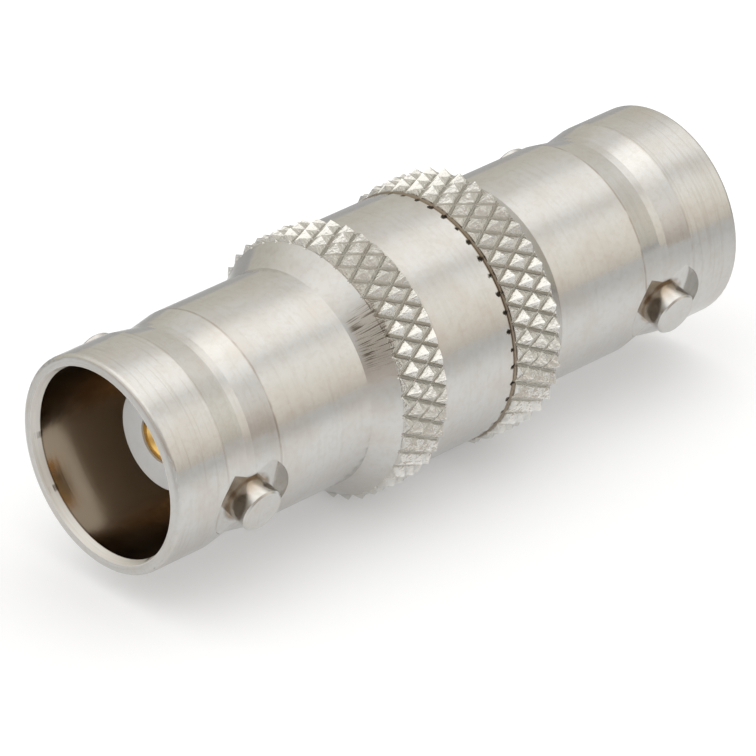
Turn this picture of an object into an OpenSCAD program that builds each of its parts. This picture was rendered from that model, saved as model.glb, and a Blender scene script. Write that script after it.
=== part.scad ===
/* [Overall] */
// Length of each bayonet sleeve, from its mouth to the knurled collar
sleeve_l = 10.7; // [10:0.1:13]
// Length of the smooth band between the two knurls
band_l = 3.95; // [2.5:0.05:6]
// Length of each knurl
knurl_l = 2.5; // [1.6:0.05:3.5]

/* [Bayonet sleeves] */
// Outer diameter of the sleeves
sleeve_d = 9.65; // [9.5:0.05:10.2]
// Diameter of the bore that takes the plug
bore_d = 8.16; // [7.8:0.02:8.3]
// Depth of the bore, from the mouth to its floor
bore_depth = 8.4; // [7.8:0.1:9]
// Diameter of the counterbore that takes the front of the plug
mouth_d = 8.5; // [8.4:0.02:8.7]
// Depth of the counterbore
mouth_depth = 2.4; // [1:0.1:2.6]
// Length of the taper from the counterbore down to the bore
mouth_taper_l = 3.6; // [1:0.1:4]
// How far the lead-in cuts back the wall at the rim
lead_in_w = 0.1; // [0.05:0.01:0.2]
// Depth of the lead-in
lead_in_l = 0.45; // [0.2:0.05:0.8]
// Rounding of the rim's outer edge
rim_round = 0.2; // [0.05:0.01:0.3]

/* [Waist] */
// Distance from the mouth to the turned waist
waist_start = 2.75; // [2:0.05:3.5]
// Length of the waist
waist_l = 2.9; // [2.6:0.05:3.6]
// Diameter at the bottom of the waist
waist_d = 9.22; // [9:0.02:9.4]
// Length of the waist's level bottom, between its two tapers
waist_flat_l = 0.4; // [0.1:0.05:1.8]

/* [Bayonet lugs] */
// Diameter of the lugs
lug_d = 2.04; // [1.9:0.02:2.1]
// Distance over the two lugs
lug_span = 11; // [10.6:0.05:11.2]
// Bevel round the end of each lug
lug_bevel = 0.08; // [0.02:0.01:0.2]
// Diameter of the round seat that is milled flat about each lug
seat_d = 3.9; // [3:0.05:4]
// Wall left between the bore and the seat
seat_wall = 0.38; // [0.3:0.01:0.5]

/* [Collar] */
// Diameter of the smooth band
band_d = 11.15; // [10.9:0.05:11.4]
// Diameter over the crests of the knurl
knurl_d = 11.9; // [11.7:0.05:12.4]
// Depth of the knurl's grooves
knurl_depth = 0.35; // [0.2:0.01:0.36]
// Diamonds round the knurl
knurl_count = 39; // [24:1:60]
// Length of one diamond along the axis
diamond_l = 1.58; // [1.2:0.02:2.4]
// Turn of the main body's knurl about the axis
main_knurl_turn = 3.5; // [-5:0.5:5]
// Turn of the end body's knurl about the axis
end_knurl_turn = -1; // [-5:0.5:5]
// Distance from the main body's knurl to the smooth band
main_knurl_inset = 0.1; // [0:0.05:0.3]
// Distance from the end body's knurl to the smooth band
end_knurl_inset = 0; // [0:0.05:0.3]
// Length of the steep edge at the knurl's outer end
knurl_front_l = 0.1; // [0.04:0.02:0.3]
// Length of the edge that falls from the crests to the joint
knurl_back_l = 0.28; // [0.1:0.02:0.4]
// Length of the bevel that runs from the sleeve up to the knurl
bevel_l = 1.05; // [0.8:0.05:2]
// Bevel on the smooth band's edge at the joint
joint_bevel = 0.06; // [0.04:0.02:0.3]

/* [Joint between the bodies] */
// Diameter of the end body's spigot
spigot_d = 9; // [8.4:0.1:9.6]
// Length of the spigot
spigot_l = 4; // [2:0.1:5]
// Clearance round the spigot
spigot_gap = 0.01; // [0.005:0.005:0.05]
// Clearance past the end of the spigot
spigot_end_gap = 0.2; // [0.05:0.05:0.6]

/* [Insulators] */
// Diameter of the nose that stands in the bore
nose_d = 4.72; // [4.4:0.02:5]
// Distance from the mouth down to the nose
nose_inset = 3.25; // [2.8:0.05:4]
// Diameter of the insulator's body
insulator_d = 7; // [6.2:0.1:7.6]
// Thickness of the web between the bore and the insulator's body
web_t = 1; // [0.6:0.1:1.6]
// Clearance round the insulators
insulator_gap = 0.02; // [0.005:0.005:0.05]
// Edge break on the nose
nose_bevel = 0.08; // [0.02:0.02:0.2]

/* [Centre contact] */
// Outer diameter of the contact
contact_d = 2.2; // [2:0.05:2.4]
// Distance from the nose down to the end of the contact
contact_inset = 0.1; // [0.02:0.02:0.4]
// Diameter of the socket at each end, for the plug's pin
socket_d = 1.36; // [1.3:0.02:1.45]
// Depth of each socket
socket_depth = 5; // [4:0.1:6]
// Width of the chamfer at the socket's mouth
socket_lead = 0.22; // [0.1:0.02:0.3]
// Width of the slots that let the socket spring
slot_w = 0.24; // [0.15:0.01:0.3]
// Length of the slots
slot_l = 4.2; // [2:0.1:4.8]
// Diameter of the contact's collar
contact_collar_d = 3; // [2.6:0.1:4]
// Length of the contact's collar
contact_collar_l = 1.6; // [0.8:0.1:3]
// Clearance round the contact
contact_gap = 0.02; // [0.005:0.005:0.05]

/* [Hidden] */
$fn = 96;

nickel = "gainsboro";
ptfe = "white";
gold = "goldenrod";

// Each half runs from its mouth to the inner edge of its knurl.
half_l = sleeve_l + bevel_l + knurl_l;
total_l = 2 * half_l + band_l;
mid_z = total_l / 2;

sleeve_r = sleeve_d / 2;
bore_r = bore_d / 2;
mouth_r = mouth_d / 2;
waist_r = waist_d / 2;
waist_end = waist_start + waist_l;
seat_x = bore_r + seat_wall;
lug_z = waist_start + waist_l / 2;
band_r = band_d / 2;
crest_r = knurl_d / 2;
root_r = crest_r - knurl_depth;

// The bevel ends a little above the grooves, so that they run out through it.
bevel_rise = 0.2;
bevel_r = root_r + bevel_rise * knurl_depth;

chamber_r = insulator_d / 2 + insulator_gap;
chamber_start = bore_depth + web_t;
web_hole_r = nose_d / 2 + insulator_gap;
joint_z = half_l;

// Knurl grid: half a diamond for each column and each row
knurl_columns = 2 * knurl_count;
column_a = 360 / knurl_columns;
row_l = diamond_l / 2;
knurl_rows = ceil((knurl_l + bevel_l) / row_l);
// The ring of teeth is sunk this far below its grooves.
// The collar's blank reaches halfway back up.
knurl_sink = 0.3;
blank_r = root_r - knurl_sink / 2;
knurl_clear = 0.1;
// Cutting tools run this far past the faces that they cut.
over = 0.5;

function on_ring(r, a, z) = [r * cos(a), r * sin(a), z];

// Tooth height on the grid: crests and groove crossings alternate like a chessboard.
function tooth_r(column, row) = (column + row) % 2 == 0 ? root_r : crest_r;

// Each square of the grid is split from crossing to crossing, so four of them make a pyramid.
function tooth_faces(column, row, first, next) =
    (column + row) % 2 == 0
        ? [[first, first + knurl_columns, next + knurl_columns], [first, next + knurl_columns, next]]
        : [[first, first + knurl_columns, next], [next, first + knurl_columns, next + knurl_columns]];

// A ring of pyramid teeth, with its first row at z = 0 and the others above it
module knurl_ring() {
    inner_r = root_r - knurl_sink;
    top_z = knurl_rows * row_l;
    outer = [
        for (row = [0 : knurl_rows])
            for (column = [0 : knurl_columns - 1])
                on_ring(tooth_r(column, row), column * column_a, row * row_l)
    ];
    inner = [
        for (z = [0, top_z])
            for (column = [0 : knurl_columns - 1])
                on_ring(inner_r, column * column_a, z)
    ];
    low = len(outer);
    high = low + knurl_columns;
    last_row = knurl_rows * knurl_columns;
    faces = [
        for (column = [0 : knurl_columns - 1])
            let (next = (column + 1) % knurl_columns)
            each concat(
                [for (row = [0 : knurl_rows - 1])
                    each tooth_faces(column, row, row * knurl_columns + column, row * knurl_columns + next)],
                [[low + column, column, next, low + next]],
                [[high + next, last_row + next, last_row + column, high + column]],
                [[low + next, high + next, high + column, low + column]]
            )
    ];
    polyhedron(points = concat(outer, inner), faces = faces, convexity = 6);
}

// Outline of a sleeve from the axis: rounded rim, waist and plain rear part
module sleeve_outline() {
    difference() {
        polygon([
            [0, 0],
            [sleeve_r, 0],
            [sleeve_r, waist_start],
            [waist_r, lug_z - waist_flat_l / 2],
            [waist_r, lug_z + waist_flat_l / 2],
            [sleeve_r, waist_end],
            [sleeve_r, half_l],
            [0, half_l]
        ]);
        difference() {
            translate([sleeve_r - rim_round, -rim_round]) square(2 * rim_round);
            translate([sleeve_r - rim_round, rim_round]) circle(rim_round);
        }
    }
}

// Round seat of one lug, milled flat into the sleeve's side
module lug_seat() {
    translate([seat_x, 0, lug_z])
        rotate([0, 90, 0]) cylinder(d = seat_d, h = over + sleeve_r - seat_x);
}

// One bayonet lug, from inside the sleeve's wall out to its bevelled end
module lug() {
    lug_root = bore_r + seat_wall / 2;
    translate([lug_root, 0, lug_z])
        rotate([0, 90, 0]) {
            cylinder(d = lug_d, h = lug_span / 2 - lug_root - lug_bevel);
            translate([0, 0, lug_span / 2 - lug_root - lug_bevel])
                cylinder(d1 = lug_d, d2 = lug_d - 2 * lug_bevel, h = lug_bevel);
        }
}

// Outline of a collar half: bevel, the knurl's steep front edge and the edge down to the joint
// It passes a little above the crests, so that they stay sharp.
module collar_outline() {
    knurl_start = sleeve_l + bevel_l;
    edge_r = band_r - joint_bevel;
    top_r = crest_r + knurl_clear;
    // Length along the axis for each millimetre of radius
    front_slope = knurl_front_l / (crest_r - bevel_r);
    back_slope = knurl_back_l / (crest_r - edge_r);
    polygon([
        [0, sleeve_l],
        [sleeve_r, sleeve_l],
        [bevel_r, knurl_start],
        [top_r, knurl_start + front_slope * (top_r - bevel_r)],
        [top_r, half_l - back_slope * (top_r - edge_r)],
        [edge_r, half_l],
        [0, half_l]
    ]);
}

// Collar half: blank and knurl together, cut back to the outline
module collar(turn, inset) {
    intersection() {
        union() {
            translate([0, 0, sleeve_l]) cylinder(r = blank_r, h = half_l - sleeve_l);
            translate([0, 0, half_l - inset]) rotate([0, 0, turn]) mirror([0, 0, 1]) knurl_ring();
        }
        rotate_extrude() collar_outline();
    }
}

// Bore of one sleeve: lead-in, counterbore, taper, bore and the hole through the web
module sleeve_bore() {
    lead_r = mouth_r + lead_in_w;
    lead_slope = lead_in_w / lead_in_l;
    translate([0, 0, -over])
        cylinder(r1 = lead_r + lead_slope * over, r2 = mouth_r, h = lead_in_l + over);
    translate([0, 0, lead_in_l]) cylinder(r = mouth_r, h = mouth_depth - lead_in_l);
    translate([0, 0, mouth_depth]) cylinder(r1 = mouth_r, r2 = bore_r, h = mouth_taper_l);
    translate([0, 0, mouth_depth]) cylinder(r = bore_r, h = bore_depth - mouth_depth);
    translate([0, 0, bore_depth - over]) cylinder(r = web_hole_r, h = web_t + 2 * over);
}

// The half that both bodies share, with its mouth at z = 0
module bayonet_half(knurl_turn, knurl_inset) {
    difference() {
        union() {
            difference() {
                rotate_extrude() sleeve_outline();
                for (side = [0, 180]) rotate([0, 0, side]) lug_seat();
            }
            for (side = [0, 180]) rotate([0, 0, side]) lug();
            collar(knurl_turn, knurl_inset);
        }
        sleeve_bore();
    }
}

module main_body() {
    socket_r = spigot_d / 2 + spigot_gap;
    socket_l = spigot_l + spigot_end_gap;
    color(nickel)
    difference() {
        union() {
            translate([0, 0, total_l]) mirror([0, 0, 1]) bayonet_half(main_knurl_turn, main_knurl_inset);
            translate([0, 0, joint_z]) {
                cylinder(r1 = band_r - joint_bevel, r2 = band_r, h = joint_bevel);
                translate([0, 0, joint_bevel]) cylinder(r = band_r, h = band_l - joint_bevel + row_l / 2);
            }
        }
        translate([0, 0, joint_z - over]) {
            cylinder(r = socket_r, h = socket_l + over);
            cylinder(r = chamber_r, h = total_l - joint_z - chamber_start + over);
        }
    }
}

module end_body() {
    color(nickel)
    difference() {
        union() {
            bayonet_half(end_knurl_turn, end_knurl_inset);
            translate([0, 0, joint_z - over]) cylinder(d = spigot_d, h = spigot_l + over);
        }
        translate([0, 0, chamber_start])
            cylinder(r = chamber_r, h = joint_z + spigot_l + over - chamber_start);
    }
}

// Insulator of one half: nose, body and the recess for half of the contact's collar
module insulator() {
    nose_r = nose_d / 2;
    body_start = chamber_start + insulator_gap;
    collar_start = mid_z - contact_collar_l / 2 - contact_gap;
    difference() {
        union() {
            translate([0, 0, nose_inset])
                cylinder(r1 = nose_r - nose_bevel, r2 = nose_r, h = nose_bevel);
            translate([0, 0, nose_inset + nose_bevel])
                cylinder(r = nose_r, h = mid_z - insulator_gap - nose_inset - nose_bevel);
            translate([0, 0, body_start])
                cylinder(d = insulator_d, h = mid_z - insulator_gap - body_start);
        }
        translate([0, 0, nose_inset - over])
            cylinder(d = contact_d + 2 * contact_gap, h = mid_z - nose_inset + 2 * over);
        translate([0, 0, collar_start])
            cylinder(d = contact_collar_d + 2 * contact_gap, h = mid_z + over - collar_start);
    }
}

module main_insulator() {
    color(ptfe) translate([0, 0, total_l]) mirror([0, 0, 1]) insulator();
}

module end_insulator() {
    color(ptfe) insulator();
}

// Socket cut into one end of the contact, with its two spring slots
module contact_socket() {
    socket_r = socket_d / 2;
    start = nose_inset + contact_inset;
    translate([0, 0, start - over]) cylinder(r = socket_r, h = socket_depth + over);
    translate([0, 0, start]) cylinder(r1 = socket_r + socket_lead, r2 = socket_r, h = socket_lead);
    translate([-contact_d, -slot_w / 2, start - over]) cube([2 * contact_d, slot_w, slot_l + over]);
}

module centre_contact() {
    contact_start = nose_inset + contact_inset;
    color(gold)
    difference() {
        union() {
            translate([0, 0, contact_start]) cylinder(d = contact_d, h = total_l - 2 * contact_start);
            translate([0, 0, mid_z - contact_collar_l / 2])
                cylinder(d = contact_collar_d, h = contact_collar_l);
        }
        contact_socket();
        translate([0, 0, total_l]) mirror([0, 0, 1]) contact_socket();
    }
}

main_body();
end_body();
main_insulator();
end_insulator();
centre_contact();
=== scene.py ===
# %% [markdown]
# This lesson dresses a straight coaxial adapter: a bayonet jack at each end of a knurled metal body.
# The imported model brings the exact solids, knurl and all. They stay as they are and get their finish
# here: satin nickel plate on the two bodies, white fluoropolymer insulators and a gold-plated contact.
# Everything is procedural, so the finish goes all the way round and holds from any side.

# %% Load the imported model
import math

import bpy
from mathutils import Matrix, Vector


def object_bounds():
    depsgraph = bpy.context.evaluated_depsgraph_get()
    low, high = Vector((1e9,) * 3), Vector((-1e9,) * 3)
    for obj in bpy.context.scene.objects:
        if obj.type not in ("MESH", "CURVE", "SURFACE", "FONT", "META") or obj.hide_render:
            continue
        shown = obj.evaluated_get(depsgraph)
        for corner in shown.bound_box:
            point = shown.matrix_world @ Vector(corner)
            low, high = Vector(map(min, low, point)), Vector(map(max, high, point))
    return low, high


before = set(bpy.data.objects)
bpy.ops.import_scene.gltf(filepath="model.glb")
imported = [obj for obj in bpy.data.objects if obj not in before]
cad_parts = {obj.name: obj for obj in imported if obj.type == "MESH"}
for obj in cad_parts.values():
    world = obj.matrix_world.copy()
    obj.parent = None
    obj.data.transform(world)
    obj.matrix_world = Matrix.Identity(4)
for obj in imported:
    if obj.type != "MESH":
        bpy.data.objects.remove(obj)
cad_low, cad_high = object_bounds()
MM = 0.001
print("solids:", sorted(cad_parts), "height mm:", round((cad_high.z - cad_low.z) / MM, 2))

# %% [markdown]
# The adapter's own sizes, in millimetres, place every pattern below. The part stands on one mouth,
# so heights run along the axis, and distances from the axis are radii. The two halves mirror each
# other about the middle, so most marks are placed by how far they lie from the nearer mouth.

# %% Sizes that the finishes follow
TOTAL_L = (cad_high.z - cad_low.z) / MM
MIDDLE_Z = TOTAL_L / 2
CREST_R = cad_high.x / MM
KNURL_DEPTH = 0.35
GROOVE_R = CREST_R - KNURL_DEPTH
BAND_R = 5.575
BORE_EDGE_R = 4.36
LEAD_IN_L = 0.45
TAPER_START, TAPER_L, TAPER_SLOPE = 2.4, 3.6, 0.047
KNURL_START, KNURL_END = 11.75, 14.25
SEAM_Z = KNURL_END
print("crest radius", round(CREST_R, 3), "mm, length", round(TOTAL_L, 2), "mm, seam at", SEAM_Z, "mm")

# %% [markdown]
# Small helpers for node trees. One adds any node and sets its plain values. The others build on it
# and return the socket that carries on, so a pattern reads as one line for each step.

# %% Node helpers
class Tree:
    """A node tree with short ways to add the nodes that the finishes use."""

    def __init__(self, node_tree):
        self.nodes, self.links = node_tree.nodes, node_tree.links

    def add(self, kind, values=None, **settings):
        """A new node. A value that is a socket is linked, and any other is set."""
        node = self.nodes.new(kind)
        for name, value in settings.items():
            setattr(node, name, value)
        for key, value in (values or {}).items():
            if isinstance(value, bpy.types.NodeSocket):
                self.links.new(value, node.inputs[key])
            else:
                node.inputs[key].default_value = value
        return node

    def math(self, operation, a, b=0.0, c=0.0):
        return self.add("ShaderNodeMath", {0: a, 1: b, 2: c}, operation=operation).outputs[0]

    def vector(self, operation, a, b=(0, 0, 0)):
        node = self.add("ShaderNodeVectorMath", {0: a, 1: b}, operation=operation)
        return node.outputs["Value" if operation in ("DOT_PRODUCT", "LENGTH") else "Vector"]

    def ramp(self, value, low, high, to_low=0.0, to_high=1.0, curve="SMOOTHSTEP"):
        """A smooth step, or a straight one, from to_low at low to to_high at high."""
        values = {"Value": value, "From Min": low, "From Max": high, "To Min": to_low, "To Max": to_high}
        return self.add("ShaderNodeMapRange", values, interpolation_type=curve).outputs["Result"]

    def band(self, value, centre, half_width, soft):
        """1 within half_width of centre, falling to 0 over the soft distance."""
        away = self.math("ABSOLUTE", self.math("SUBTRACT", value, centre))
        return self.ramp(away, half_width, half_width + soft, 1.0, 0.0)

    def mix(self, factor, a, b):
        return self.add("ShaderNodeMix", {0: factor, 6: a, 7: b}, data_type="RGBA").outputs[2]

    def tint(self, color, mask, strength, toward):
        """The colour moved toward another one by a mask times a strength."""
        return self.mix(self.math("MULTIPLY", mask, strength), color, toward)

    def noise(self, vector, scale, detail, rough):
        values = {"Vector": vector, "Scale": scale, "Detail": detail, "Roughness": rough}
        return self.add("ShaderNodeTexNoise", values).outputs["Fac"]

    def bump(self, height, depth_mm, under=None):
        """A bump of depth_mm for each unit of height, laid over another normal if one is given."""
        values = {"Strength": 1.0, "Distance": depth_mm * MM, "Height": height}
        if under is not None:
            values["Normal"] = under
        return self.add("ShaderNodeBump", values).outputs[0]


def product(tree, *masks):
    """All the masks multiplied together."""
    result = masks[0]
    for mask in masks[1:]:
        result = tree.math("MULTIPLY", result, mask)
    return result


def cosine(degrees):
    return math.cos(math.radians(degrees))


print("node helpers ready")

# %% [markdown]
# The table comes first. The adapter lies on its knurls, so the table touches the knurls' crests, and
# "up" is square to it. The table shows from above only. It falls into shade behind the part, where
# the metal mirrors it, yet the camera sees it white all over: that comes from a glow that camera rays
# alone meet. Rays that leave the metal meet a weaker one, which fades with distance from the part.

# %% Table, and the direction that is up from it
UP = Vector((-0.289, 0.957, 0.0)).normalized()
RIGHT = Vector((0.6556, 0.1982, -0.7286)).normalized()
TO_CAMERA = RIGHT.cross(UP).normalized()
TABLE_HALF = 0.6

middle = Vector((0, 0, MIDDLE_Z * MM))
corners = [middle - UP * CREST_R * MM + RIGHT * TABLE_HALF * i + TO_CAMERA * TABLE_HALF * j
           for i, j in ((-1, -1), (1, -1), (1, 1), (-1, 1))]
table_mesh = bpy.data.meshes.new("table")
table_mesh.from_pydata([tuple(c) for c in corners], [], [(0, 1, 2, 3)])
if table_mesh.polygons[0].normal.dot(UP) < 0:
    table_mesh.flip_normals()
table = bpy.data.objects.new("table", table_mesh)
bpy.context.scene.collection.objects.link(table)
print("table set", round(CREST_R, 2), "mm below the axis")

# %% [markdown]
# The table's paint is put together from single shaders, so that one kind of ray can meet more glow
# than another. Its distances are in metres from the middle of the part, negative behind it.

# %% Paint for the table
SHADE_BEHIND = (-0.008, -0.030)
SHADE_AWAY, SHADE_AWAY_MOST = (0.022, 0.055), 0.40
GLOW_NEAR, GLOW_NEAR_MOST = (0.012, 0.034), 0.23
CAMERA_GLOW, SHADE_GLOW_EXTRA = 0.26, 0.40
LIT_TABLE, SHADED_TABLE = (0.79, 0.80, 0.82, 1), (0.455, 0.46, 0.475, 1)

table_paint = bpy.data.materials.new("white_table")
table_paint.use_nodes = True
tree = Tree(table_paint.node_tree)
tree.nodes.clear()
rays = tree.add("ShaderNodeLightPath").outputs
spot = tree.add("ShaderNodeTexCoord").outputs["Object"]
behind = tree.vector("DOT_PRODUCT", spot, tuple(TO_CAMERA))
behind = tree.math("SUBTRACT", behind, middle.dot(TO_CAMERA))
away = tree.vector("LENGTH", tree.vector("SUBTRACT", spot, tuple(middle)))
shade_away = tree.ramp(away, *SHADE_AWAY, 0.0, SHADE_AWAY_MOST)
far_side = tree.math("MAXIMUM", tree.ramp(behind, *SHADE_BEHIND), shade_away)
near_glow = tree.ramp(away, *GLOW_NEAR, GLOW_NEAR_MOST, 0.0)
near_glow = product(tree, near_glow, tree.math("SUBTRACT", 1.0, far_side))
mirrored = tree.math("MAXIMUM", rays["Is Glossy Ray"], rays["Is Transmission Ray"])
camera_glow = tree.math("MULTIPLY_ADD", far_side, SHADE_GLOW_EXTRA, CAMERA_GLOW)
seen = product(tree, rays["Is Camera Ray"], camera_glow)
seen = tree.math("MULTIPLY_ADD", mirrored, near_glow, seen)
shaded = tree.mix(far_side, LIT_TABLE, SHADED_TABLE)
matt = tree.add("ShaderNodeBsdfDiffuse", {"Color": shaded}).outputs[0]
glow = tree.add("ShaderNodeEmission", {"Color": (1, 1, 1, 1), "Strength": seen}).outputs[0]
both = tree.add("ShaderNodeAddShader", {0: matt, 1: glow}).outputs[0]
clear = tree.add("ShaderNodeBsdfTransparent").outputs[0]
from_below = tree.add("ShaderNodeNewGeometry").outputs["Backfacing"]
surface = tree.add("ShaderNodeMixShader", {0: from_below, 1: both, 2: clear}).outputs[0]
tree.add("ShaderNodeOutputMaterial", {"Surface": surface})
table.data.materials.append(table_paint)
print("table painted:", table_paint.name)

# %% [markdown]
# Polished metal shows whatever stands around it, so the surroundings matter more than any lamp.
# They are one soft sky: warm and dim near the table, brightest overhead, with a window to the
# right, a lamp behind and one to the left, and shade in front, where somebody would stand.

# %% Sky that the metal reflects
LOW_LEVEL, HIGH_LEVEL, OVERHEAD_EXTRA = 0.675, 0.93, 0.52
LOW_SKY_BEHIND, LOW_SKY_IN_FRONT = (1.0, 0.965, 0.865, 1), (1.03, 0.945, 0.855, 1)
HIGH_SKY = (1.0, 0.992, 0.965, 1)
# Sines of the elevation, and in the last a cosine from the camera's side, over which these change
LEVEL_RISE, OVERHEAD_RISE, TINT_RISE, FRONT_RISE = (0.05, 0.75), (0.70, 0.99), (0.1, 0.8), (-0.3, 0.5)
# Name, elevation, azimuth, inner angle, outer angle and strength
SKY_PATCHES = (
    ("window on the right", 24, 84, 5, 30, 0.31),
    ("lamp behind", 55, 142, 5, 26, 0.28),
    ("lamp on the left", 45, -90, 8, 45, 0.12),
    ("shade in front", 28, -5, 8, 32, -0.20),
    ("shade to the right of it", 15, 45, 8, 45, -0.12),
)

world = bpy.data.worlds.new("studio")
bpy.context.scene.world = world
world.use_nodes = True
sky = Tree(world.node_tree)
sky.nodes.clear()
way = sky.add("ShaderNodeTexCoord").outputs["Generated"]


def direction(elevation, azimuth):
    """Unit vector: elevation above the table, azimuth from the camera's side round to the right."""
    e, a = math.radians(elevation), math.radians(azimuth)
    flat = TO_CAMERA * math.cos(a) + RIGHT * math.sin(a)
    return flat * math.cos(e) + UP * math.sin(e)


def sky_patch(elevation, azimuth, inner, outer):
    """1 inside the inner angle about a direction, falling smoothly to 0 at the outer angle."""
    along = sky.vector("DOT_PRODUCT", way, tuple(direction(elevation, azimuth)))
    return sky.ramp(along, cosine(outer), cosine(inner))


height = sky.vector("DOT_PRODUCT", way, tuple(UP))
level = sky.ramp(height, *LEVEL_RISE, LOW_LEVEL, HIGH_LEVEL)
level = sky.math("ADD", level, sky.ramp(height, *OVERHEAD_RISE, 0.0, OVERHEAD_EXTRA))
for name, elevation, azimuth, inner, outer, strength in SKY_PATCHES:
    level = sky.math("MULTIPLY_ADD", sky_patch(elevation, azimuth, inner, outer), strength, level)
    print(name, "at elevation", elevation)
in_front = sky.ramp(sky.vector("DOT_PRODUCT", way, tuple(TO_CAMERA)), *FRONT_RISE)
low_sky = sky.mix(in_front, LOW_SKY_BEHIND, LOW_SKY_IN_FRONT)
warm = sky.mix(sky.ramp(height, *TINT_RISE), low_sky, HIGH_SKY)
around = sky.add("ShaderNodeBackground", {"Color": warm, "Strength": level})
sky.add("ShaderNodeOutputWorld", {"Surface": around.outputs[0]})

# %% [markdown]
# The camera stands well back with a long lens, so the two ends keep nearly the same size. Its place
# is in metres, and "back" points from the part to the camera.

# %% Camera
CAMERA_PLACE = (0.12299, 0.17228, 0.17442)
CAMERA_BACK, CAMERA_TOP = (0.4623, 0.6576, 0.5949), (-0.5970, 0.7268, -0.3395)

lens = bpy.data.cameras.new("camera")
lens.lens, lens.sensor_width = 297.5, 36.0
lens.clip_start, lens.clip_end = 0.01, 10.0
camera = bpy.data.objects.new("camera", lens)
back = Vector(CAMERA_BACK).normalized()
camera_up = Vector(CAMERA_TOP)
camera_up = (camera_up - back * camera_up.dot(back)).normalized()
turn = Matrix((camera_up.cross(back), camera_up, back)).transposed().to_4x4()
camera.matrix_world = Matrix.Translation(CAMERA_PLACE) @ turn
bpy.context.scene.collection.objects.link(camera)
bpy.context.scene.camera = camera
bpy.context.scene.view_settings.view_transform = "Standard"
print("camera with a", lens.lens, "mm lens")

# %% [markdown]
# Effects that more than one finish uses are node groups, each built once. The first one says where
# on the part a point lies, because a turned part is easiest to describe by radius, height and turn.
# Its Around output is the direction from the axis, which joins up where an angle would jump.

# %% Group: place on the part
FLOAT, VECTOR = "NodeSocketFloat", "NodeSocketVector"


def new_group(name, inputs, outputs):
    """A shader node group with float inputs (name: value) and outputs (name: kind)."""
    group = bpy.data.node_groups.new(name, "ShaderNodeTree")
    for label, value in inputs.items():
        socket = group.interface.new_socket(name=label, in_out="INPUT", socket_type=FLOAT)
        socket.default_value = value
    for label, kind in outputs.items():
        group.interface.new_socket(name=label, in_out="OUTPUT", socket_type=kind)
    inner = Tree(group)
    return group, inner, inner.add("NodeGroupInput").outputs, inner.add("NodeGroupOutput").inputs


def use_group(tree, group, values=None):
    """Places a group in a tree with its own values, and returns its outputs."""
    return tree.add("ShaderNodeGroup", values, node_tree=group).outputs


place_group, inner, _, result = new_group("place on the part", {}, {
    "Point": VECTOR, "Around": VECTOR, "Radius": FLOAT, "Height": FLOAT, "From mouth": FLOAT})
point = inner.add("ShaderNodeTexCoord").outputs["Object"]
point = inner.vector("MULTIPLY", point, (1 / MM, 1 / MM, 1 / MM))
flat = inner.vector("MULTIPLY", point, (1, 1, 0))
height_mm = inner.add("ShaderNodeSeparateXYZ", {0: point}).outputs["Z"]
from_middle = inner.math("ABSOLUTE", inner.math("SUBTRACT", height_mm, MIDDLE_Z))
for label, socket in (
    ("Point", point),
    ("Around", inner.vector("NORMALIZE", flat)),
    ("Radius", inner.vector("LENGTH", flat)),
    ("Height", height_mm),
    ("From mouth", inner.math("SUBTRACT", MIDDLE_Z, from_middle)),
):
    inner.links.new(socket, result[label])
print("group:", place_group.name)

# %% [markdown]
# A lathe leaves fine lines round the part, and plating does not hide them. Noise that changes fast
# along the profile and slowly round the axis gives such lines, with no seam where the turn starts.

# %% Group: turning lines
turning_group, inner, given, result = new_group(
    "turning lines", {"Lines per mm": 9.0, "Changes round": 1.5}, {"Lines": FLOAT})
place = use_group(inner, place_group)
along = inner.math("ADD", place["Radius"], place["Height"])
along = inner.math("MULTIPLY", along, given["Lines per mm"])
sides = inner.add("ShaderNodeSeparateXYZ", {0: place["Around"]}).outputs
spot = inner.add("ShaderNodeCombineXYZ", {
    "X": inner.math("MULTIPLY", sides["X"], given["Changes round"]),
    "Y": inner.math("MULTIPLY", sides["Y"], given["Changes round"]),
    "Z": along,
}).outputs[0]
inner.links.new(inner.noise(spot, 1.0, 3.0, 0.65), result["Lines"])
print("group:", turning_group.name)

# %% [markdown]
# Handling and storage leave soft cloudy patches on plate and plastic alike. A wide noise makes them,
# squeezed so that most of the surface stays clean. A finer one gives specks and tiny pits.

# %% Group: cloudy patches
# Noise at which a patch would start with no spread, and at which it is full
PATCH_START, PATCH_FULL = 0.72, 0.75
FINER = 6.0

patch_group, inner, given, result = new_group(
    "cloudy patches", {"Size mm": 1.0, "Spread": 0.5}, {"Patches": FLOAT, "Fine": FLOAT})
place = use_group(inner, place_group)
per_mm = inner.math("DIVIDE", 1.0, given["Size mm"])
wide = inner.noise(place["Point"], per_mm, 3.0, 0.6)
fine = inner.noise(place["Point"], inner.math("MULTIPLY", per_mm, FINER), 2.0, 0.6)
patch_foot = inner.math("SUBTRACT", PATCH_START, given["Spread"])
inner.links.new(inner.ramp(wide, patch_foot, PATCH_FULL), result["Patches"])
inner.links.new(fine, result["Fine"])
print("group:", patch_group.name)

# %% [markdown]
# The crests of a knurl are rubbed bright by fingers and carry a painted highlight as well, and its grooves
# are painted darker. Both follow the radius, within the two stretches of the profile where the knurls are.
# Only the nickel uses this group: it keeps the three masks of the knurl together.

# %% Group: knurl wear and painted light
KNURL_MIDDLE, KNURL_HALF_L = (KNURL_START + KNURL_END) / 2, (KNURL_END - KNURL_START) / 2
KNURL_FADE = 0.05
# Radii over which each mask starts
GROOVES_FROM_R, TEETH_FROM_R = (5.50, 5.56), (5.60, 5.68)

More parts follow.
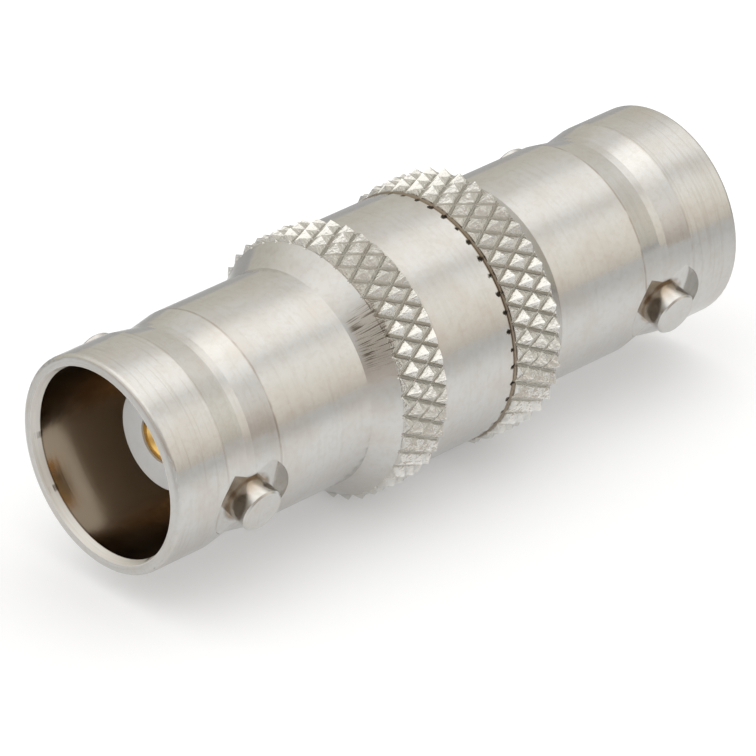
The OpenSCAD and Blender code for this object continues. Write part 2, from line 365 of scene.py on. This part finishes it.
knurl_wear_and_light_group, inner, given, result = new_group(
    "knurl wear and painted light", {"Crest depth": 0.06, "Groove depth": 0.16},
    {"Crest wear and highlight": FLOAT, "Grooves": FLOAT, "Knurl": FLOAT})
place = use_group(inner, place_group)
radius = place["Radius"]
on_knurl = inner.band(place["From mouth"], KNURL_MIDDLE, KNURL_HALF_L, KNURL_FADE)
crest_low = inner.math("SUBTRACT", CREST_R, inner.math("MULTIPLY", given["Crest depth"], 2.0))
groove_high = inner.math("ADD", GROOVE_R, given["Groove depth"])
crest_wear_and_highlight = inner.ramp(radius, crest_low, CREST_R)
grooves = inner.ramp(radius, groove_high, GROOVE_R)
teeth = inner.ramp(radius, *TEETH_FROM_R)
above_floor = inner.ramp(radius, *GROOVES_FROM_R)
inner.links.new(product(inner, teeth, on_knurl), result["Knurl"])
inner.links.new(product(inner, crest_wear_and_highlight, on_knurl), result["Crest wear and highlight"])
inner.links.new(product(inner, grooves, on_knurl, above_floor), result["Grooves"])
print("group:", knurl_wear_and_light_group.name)

# %% [markdown]
# A finish starts from a Principled shader. A number that is the same all over is set on the shader's
# own socket, and what changes over the surface is linked to it when the pattern is done.

# %% Starting and ending a finish
def new_finish(name, **values):
    """A material round one Principled shader, with plain values on the shader's sockets."""
    material = bpy.data.materials.new(name)
    material.use_nodes = True
    tree = Tree(material.node_tree)
    shader = tree.nodes["Principled BSDF"]
    for label, value in values.items():
        shader.inputs[label.replace("_", " ")].default_value = value
    return material, tree, shader


def connect(tree, shader, **sockets):
    """Links patterns to the shader's sockets, which are named with _ for a space."""
    for label, socket in sockets.items():
        tree.links.new(socket, shader.inputs[label.replace("_", " ")])


print("finish maker ready")

# %% [markdown]
# Nickel plate is warm and a little yellow beside chrome. Its marks are shades of brown, from a faint cloud
# to the nearly black painted shade in a nick, so they are listed together, where they can be compared.

# %% Nickel: its shades
NICKEL = {
    "clean": (0.604, 0.596, 0.576, 1),
    "cloudy": (0.560, 0.512, 0.462, 1),
    "turning line": (0.47, 0.44, 0.40, 1),
    "speck": (0.50, 0.465, 0.42, 1),
    # The knurl's lighter shade is painted light, and the crests' shade is partly a painted highlight.
    "knurl": (0.70, 0.685, 0.65, 1),
    "groove": (0.46, 0.43, 0.36, 1),
    "crest wear, painted highlight": (0.85, 0.845, 0.815, 1),
    "bore": (0.60, 0.49, 0.37, 1),
    "deep bore, painted lighter": (0.62, 0.51, 0.385, 1),
    "dull lead-in": (0.56, 0.53, 0.49, 1),
    "lead-in painted highlight": (0.86, 0.84, 0.80, 1),
    "lead-in edge shade": (0.20, 0.155, 0.11, 1),
    "knock": (0.12, 0.09, 0.065, 1),
    "seam": (0.25, 0.19, 0.125, 1),
    "nick shade": (0.025, 0.02, 0.015, 1),
    "chatter stain": (0.42, 0.37, 0.30, 1),
    "chatter line": (0.10, 0.075, 0.05, 1),
    "lug foot shade": (0.16, 0.115, 0.075, 1),
    "lug side shade": (0.38, 0.28, 0.18, 1),
    "waist line": (0.33, 0.28, 0.22, 1),
}
print(len(NICKEL), "shades of nickel and its marks")

# %% [markdown]
# The colour starts even, then goes browner in cloudy patches and specks. The knurl's teeth are painted a
# lighter nickel, which is painted light. Its grooves are darker, and its crests are brighter, partly
# rubbed and partly a painted highlight. The plate is brown inside the bores, where it is thin and the
# polishing wheel does not reach, and is painted slightly lighter deep in, which is painted light. The
# lead-in at each mouth is a ring of dull streaks and streaks of painted highlight, with a line of painted
# shade round its inner edge.

# %% Nickel: colour
EDGE_SOFT = 0.02
RIM_LINES, RIM_LINES_FADE = (0.16, 0.40), (3.1, 2.5)
DEEP_FROM, DEEP_TO = 0.5, 7.0
LEAD_IN_EDGE_R = (4.40, BORE_EDGE_R)

nickel, tree, shader = new_finish("satin_nickel", Metallic=1.0)
place = use_group(tree, place_group)
lines = use_group(tree, turning_group, {"Lines per mm": 5.5, "Changes round": 1.0})["Lines"]
clouds = use_group(tree, patch_group, {"Size mm": 1.7, "Spread": 0.34})
knurl = use_group(tree, knurl_wear_and_light_group)
radius, from_mouth = place["Radius"], place["From mouth"]

inside = tree.ramp(radius, BORE_EDGE_R + EDGE_SOFT, BORE_EDGE_R)
past_lead_in = tree.ramp(from_mouth, LEAD_IN_L - EDGE_SOFT, LEAD_IN_L + EDGE_SOFT)
bore = product(tree, inside, past_lead_in)
lead_in_zone = product(tree, inside, tree.math("SUBTRACT", 1.0, past_lead_in))
# A thin line of painted shade runs round the inner edge of the lead-in.
lead_in_edge_shade = product(tree, tree.band(from_mouth, LEAD_IN_L + 0.03, 0.02, 0.05),
                       tree.ramp(radius, *LEAD_IN_EDGE_R))

color = tree.tint(NICKEL["clean"], clouds["Patches"], 0.55, NICKEL["cloudy"])
line_strength = tree.ramp(from_mouth, *RIM_LINES_FADE, *RIM_LINES)
color = tree.mix(product(tree, tree.ramp(lines, 0.50, 0.34), line_strength), color, NICKEL["turning line"])
color = tree.mix(tree.ramp(clouds["Fine"], 0.52, 0.36, 0.0, 0.22), color, NICKEL["speck"])
# Painted light: the knurl's teeth get a lighter nickel, and the crests a painted highlight over their
# rubbing.
color = tree.mix(knurl["Knurl"], color, NICKEL["knurl"])
color = tree.tint(color, knurl["Grooves"], 0.35, NICKEL["groove"])
color = tree.tint(color, knurl["Crest wear and highlight"], 0.9, NICKEL["crest wear, painted highlight"])
# Painted light: deeper in the bore the colour turns slightly lighter.
bore_color = tree.mix(tree.ramp(from_mouth, DEEP_FROM, DEEP_TO), NICKEL["bore"], NICKEL["deep bore, painted lighter"])
color = tree.mix(bore, color, bore_color)
# The lead-in's streaks follow the turning lines, and their bright shade is a painted highlight.
streaks = tree.mix(lines, NICKEL["dull lead-in"], NICKEL["lead-in painted highlight"])
color = tree.mix(lead_in_zone, color, streaks)
# Painted shade along the lead-in's inner edge.
color = tree.tint(color, lead_in_edge_shade, 0.6, NICKEL["lead-in edge shade"])
print("nickel colour with patches, grooves, crests and bore")

# %% [markdown]
# Plugs knock the lead-in as they go on, and leave a few dark nicks in it. Four places round the mouth
# are enough, each a narrow wedge of the ring, dark where the turning lines are already low.

# %% Nickel: knocks on the lead-in
KNOCK_TURNS = (147, 203, 235, 323)
KNOCK_CORE, KNOCK_REACH = 0.8, 2.6
KNOCK_FROM_MOUTH, KNOCK_HALF_L, KNOCK_FADE = 0.34, 0.14, 0.12


def near_turn(tree, around, turn, core, reach):
    """1 within the core angle of a turn about the axis, falling to 0 at the reach, in degrees."""
    angle = math.radians(turn)
    facing = tree.vector("DOT_PRODUCT", around, (math.cos(angle), math.sin(angle), 0))
    return tree.ramp(facing, cosine(reach), cosine(core))


knocks = 0.0
for knock_turn in KNOCK_TURNS:
    wedge = near_turn(tree, place["Around"], knock_turn, KNOCK_CORE, KNOCK_REACH)
    knocks = tree.math("ADD", knocks, wedge)
on_ring = tree.band(from_mouth, KNOCK_FROM_MOUTH, KNOCK_HALF_L, KNOCK_FADE)
knocks = product(tree, knocks, inside, on_ring, tree.ramp(lines, 0.60, 0.42))
color = tree.tint(color, knocks, 0.85, NICKEL["knock"])
print(len(KNOCK_TURNS), "knocks on each lead-in")

# %% [markdown]
# The joint between the two bodies shows as a thin brown line. The knurling wheel has nicked the smooth
# band beside it at an even pitch, and painted shade in the nicks makes a row of small dark dots.
# The turn about the axis is cut into equal steps, and each step gets one dot at its middle.

# %% Nickel: the joint and its nicks
NICK_COUNT, NICK_TURN, NICK_Z = 42, 41.4, 14.36
NICK_EDGE, NICK_RAGGED = (0.32, 0.24), 0.36
SEAM_LINE_Z, SEAM_HALF_W, SEAM_FADE = SEAM_Z + 0.01, 0.05, 0.06
BAND_FROM_R = (5.40, 5.44)

sides = tree.add("ShaderNodeSeparateXYZ", {0: place["Around"]}).outputs
turned = tree.math("ARCTAN2", sides["Y"], sides["X"])
step = tree.math("MULTIPLY", turned, NICK_COUNT / (2 * math.pi))
step = tree.math("FRACT", tree.math("ADD", step, 0.5 - NICK_TURN * NICK_COUNT / 360 + NICK_COUNT))
off_round = tree.math("MULTIPLY", tree.math("SUBTRACT", step, 0.5), 2 * math.pi * BAND_R / NICK_COUNT)
off_along = tree.math("SUBTRACT", place["Height"], NICK_Z)
off = tree.add("ShaderNodeCombineXYZ", {"X": off_round, "Y": off_along}).outputs[0]
off = tree.vector("LENGTH", off)
ragged = tree.math("MULTIPLY_ADD", tree.noise(place["Point"], 2.2, 3.0, 0.7), NICK_RAGGED, off)
on_band = tree.ramp(radius, *BAND_FROM_R)
nicks = product(tree, tree.ramp(ragged, *NICK_EDGE), on_band)
seam = product(tree, tree.band(place["Height"], SEAM_LINE_Z, SEAM_HALF_W, SEAM_FADE), on_band)
color = tree.tint(color, seam, 0.8, NICKEL["seam"])
# The dark dots are painted shade in the nicks, and the relief further down dents them.
color = tree.mix(nicks, color, NICKEL["nick shade"])
print(NICK_COUNT, "nicks beside the joint")

# %% [markdown]
# The bevel in front of the main body's knurl was cut with a chattering tool: short dark lines run
# down its slope, gathered in one stretch of the turn, over a brown stain.

# %% Nickel: chatter on the bevel
CHATTER_TURN, CHATTER_CORE, CHATTER_REACH = 57, 3, 17
CHATTER_Z, CHATTER_HALF_L, CHATTER_FADE = 21.05, 0.42, 0.25
BEVEL_FROM_R = (4.83, 4.88)
LINES_ROUND, LINES_ALONG = 95.0, 0.9

stretch = near_turn(tree, place["Around"], CHATTER_TURN, CHATTER_CORE, CHATTER_REACH)
on_bevel = product(tree, tree.band(place["Height"], CHATTER_Z, CHATTER_HALF_L, CHATTER_FADE),
                   tree.ramp(radius, *BEVEL_FROM_R))
slanted = tree.add("ShaderNodeCombineXYZ", {
    "X": tree.math("MULTIPLY", turned, LINES_ROUND),
    "Y": tree.math("MULTIPLY", place["Height"], LINES_ALONG),
}).outputs[0]
chatter = product(tree, stretch, on_bevel)
chatter_lines = product(tree, chatter, tree.ramp(tree.noise(slanted, 1.0, 1.0, 0.5), 0.49, 0.38))
color = tree.tint(color, chatter, 0.45, NICKEL["chatter stain"])
color = tree.tint(color, chatter_lines, 0.85, NICKEL["chatter line"])
print("chatter lines on the bevel")

# %% [markdown]
# Painted shade, dark brown and broken, fills the corner round the foot of each bayonet lug, and a painted
# dark reflection browns the lower side of each lug. Broken dark-brown lines are also painted at the two
# lines where the waist meets the sleeve. The lugs stand on the X axis, so the distance from that axis
# finds the foot, and broken noise keeps the marks from looking drawn.

# %% Nickel: painted shade at the lugs, dark lines at the waist
LUG_R, LUG_FROM_MOUTH, SEAT_X = 1.02, 4.2, 4.46
SEAT_FROM_X, SLEEVE_FROM_R = (4.40, 4.45), (4.44, 4.48)
FOOT_RISE, LUG_SIDE_SHADE_RISE, LUG_SIDE_SHADE_FULL = 0.55, 0.95, 0.25
WAIST_START, WAIST_END, WAIST_LINE_HALF_W = 2.75, 5.65, 0.02

parts = tree.add("ShaderNodeSeparateXYZ", {0: place["Point"]}).outputs
along_lug = tree.math("SUBTRACT", from_mouth, LUG_FROM_MOUTH)
across = tree.add("ShaderNodeCombineXYZ", {"X": parts["Y"], "Y": along_lug}).outputs[0]
from_lug = tree.vector("LENGTH", across)
out = tree.math("ABSOLUTE", parts["X"])
on_seat = tree.ramp(out, *SEAT_FROM_X)
broken = tree.noise(place["Point"], 1.4, 1.0, 0.5)
# Painted shade, dark brown and broken, in the corner round the lug's foot.
foot = product(tree, tree.band(from_lug, LUG_R + 0.02, 0.06, 0.20),
               tree.ramp(out, SEAT_X + FOOT_RISE, SEAT_X), on_seat, tree.ramp(broken, 0.34, 0.58))
color = tree.tint(color, foot, 0.75, NICKEL["lug foot shade"])
# Painted dark reflection, browned, on the lower side of each lug.
lug_side_shade = product(tree, tree.band(from_lug, LUG_R, 0.05, 0.10),
                tree.ramp(out, SEAT_X + LUG_SIDE_SHADE_RISE, SEAT_X + LUG_SIDE_SHADE_FULL), on_seat)
color = tree.tint(color, lug_side_shade, 0.55, NICKEL["lug side shade"])
# Broken dark-brown lines are painted at both edges of the waist.
inner_line = tree.band(from_mouth, WAIST_END, WAIST_LINE_HALF_W, 0.06)
outer_line = tree.band(from_mouth, WAIST_START, WAIST_LINE_HALF_W, 0.08)
waist_lines = tree.math("MAXIMUM", inner_line, tree.math("MULTIPLY", outer_line, 0.5))
waist_lines = product(tree, waist_lines, tree.ramp(radius, *SLEEVE_FROM_R), tree.ramp(broken, 0.25, 0.65))
color = tree.tint(color, waist_lines, 0.6, NICKEL["waist line"])
connect(tree, shader, Base_Color=color)
print("brown corners at the lugs and the waist")

# %% [markdown]
# Plate is smooth but not a mirror: the reflections are a little soft, softer in the patches and
# grooves. Each mask adds its own share to the roughness.

# %% Nickel: gloss
PLATE_ROUGHNESS = 0.12

unpolished = product(tree, bore, tree.ramp(from_mouth, 0.8, 2.5))
rough = PLATE_ROUGHNESS
for mask, share in (
    (clouds["Patches"], 0.06),
    (lines, 0.06),
    (knurl["Grooves"], 0.15),
    (chatter, 0.10),
    (lead_in_zone, 0.30),
    (unpolished, 0.05),
):
    rough = tree.math("MULTIPLY_ADD", mask, share, rough)
connect(tree, shader, Roughness=rough)
print("nickel gloss from", PLATE_ROUGHNESS)

# %% [markdown]
# The relief is two bumps, one on the other. The first, inside the mouth, is measured in millimetres:
# a slope on the lead-in and a slight one along the taper, so that both turn the light. The second is
# measured in microns: turning lines and tiny pits, the nicks, the chatter and the knurl's unevenness.

# %% Nickel: relief
LEAD_IN_SLOPE = 0.50
PLATE_RELIEF_MM = 0.0022

lead_in = tree.math("MULTIPLY", tree.math("MINIMUM", from_mouth, LEAD_IN_L), LEAD_IN_SLOPE)
tapered = tree.ramp(from_mouth, TAPER_START, TAPER_START + TAPER_L, 0.0, TAPER_SLOPE * TAPER_L, "LINEAR")
mouth_relief = tree.math("MULTIPLY", tree.math("SUBTRACT", lead_in, tapered), inside)
uneven = tree.math("MULTIPLY", tree.noise(place["Point"], 5.0, 2.0, 0.6), knurl["Knurl"])
relief = lines
for mask, share in ((clouds["Fine"], 0.6), (chatter_lines, -2.0), (nicks, -12.0), (uneven, 30.0)):
    relief = tree.math("MULTIPLY_ADD", mask, share, relief)
connect(tree, shader, Normal=tree.bump(relief, PLATE_RELIEF_MM, under=tree.bump(mouth_relief, 1.0)))
print("nickel relief", PLATE_RELIEF_MM, "mm deep")

# %% [markdown]
# The insulators are white fluoropolymer, a waxy plastic that looks slightly blue in shade. It is cut on a
# lathe too, so it shares the turning lines, and painted shade greys it near its edge.

# %% Fluoropolymer
PLASTIC_CLEAN, PLASTIC_CLOUDY = (0.80, 0.835, 0.87, 1), (0.74, 0.775, 0.81, 1)
PLASTIC_EDGE_SHADE, EDGE_SHADE_FROM_R = (0.60, 0.62, 0.63, 1), (1.9, 2.4)

plastic, tree, shader = new_finish("white_fluoropolymer", IOR=1.36)
place = use_group(tree, place_group)
lines = use_group(tree, turning_group, {"Lines per mm": 5.0, "Changes round": 1.0})["Lines"]
clouds = use_group(tree, patch_group, {"Size mm": 0.9, "Spread": 0.3})
color = tree.mix(clouds["Patches"], PLASTIC_CLEAN, PLASTIC_CLOUDY)
# Painted shade: the plastic goes greyer near its edge.
color = tree.tint(color, tree.ramp(place["Radius"], *EDGE_SHADE_FROM_R), 0.12, PLASTIC_EDGE_SHADE)
rough = tree.math("MULTIPLY_ADD", lines, 0.15, 0.36)
connect(tree, shader, Base_Color=color, Roughness=rough, Normal=tree.bump(lines, 0.004))
print("finish:", plastic.name)

# %% [markdown]
# The centre contact is gold over nickel. A thin gold flash looks deep orange inside the socket, where
# light bounces more than once, and a painted highlight makes it paler towards the socket.

# %% Gold
GOLD_CLEAN, GOLD_CLOUDY = (0.88, 0.57, 0.18, 1), (0.70, 0.40, 0.10, 1)
GOLD_HIGHLIGHT, HIGHLIGHT_WITHIN_R = (0.88, 0.66, 0.30, 1), (0.95, 0.70)

gold, tree, shader = new_finish("gold_plate", Metallic=1.0)
place = use_group(tree, place_group)
lines = use_group(tree, turning_group, {"Lines per mm": 12.0, "Changes round": 0.8})["Lines"]
clouds = use_group(tree, patch_group, {"Size mm": 0.5, "Spread": 0.4})
color = tree.mix(clouds["Patches"], GOLD_CLEAN, GOLD_CLOUDY)
# Painted highlight: the gold turns paler towards the socket.
color = tree.tint(color, tree.ramp(place["Radius"], *HIGHLIGHT_WITHIN_R), 0.35, GOLD_HIGHLIGHT)
rough = tree.math("MULTIPLY_ADD", lines, 0.12, 0.10)
connect(tree, shader, Base_Color=color, Roughness=rough, Normal=tree.bump(lines, 0.002))
print("finish:", gold.name)

# %% [markdown]
# The solids keep their meshes. Only the material in each slot changes.

# %% Put the finishes on the solids
FINISHES = {
    "main_body": nickel,
    "end_body": nickel,
    "main_insulator": plastic,
    "end_insulator": plastic,
    "centre_contact": gold,
}
for node, finish in FINISHES.items():
    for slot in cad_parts[node].material_slots:
        slot.material = finish
    print(node, "wears", finish.name)
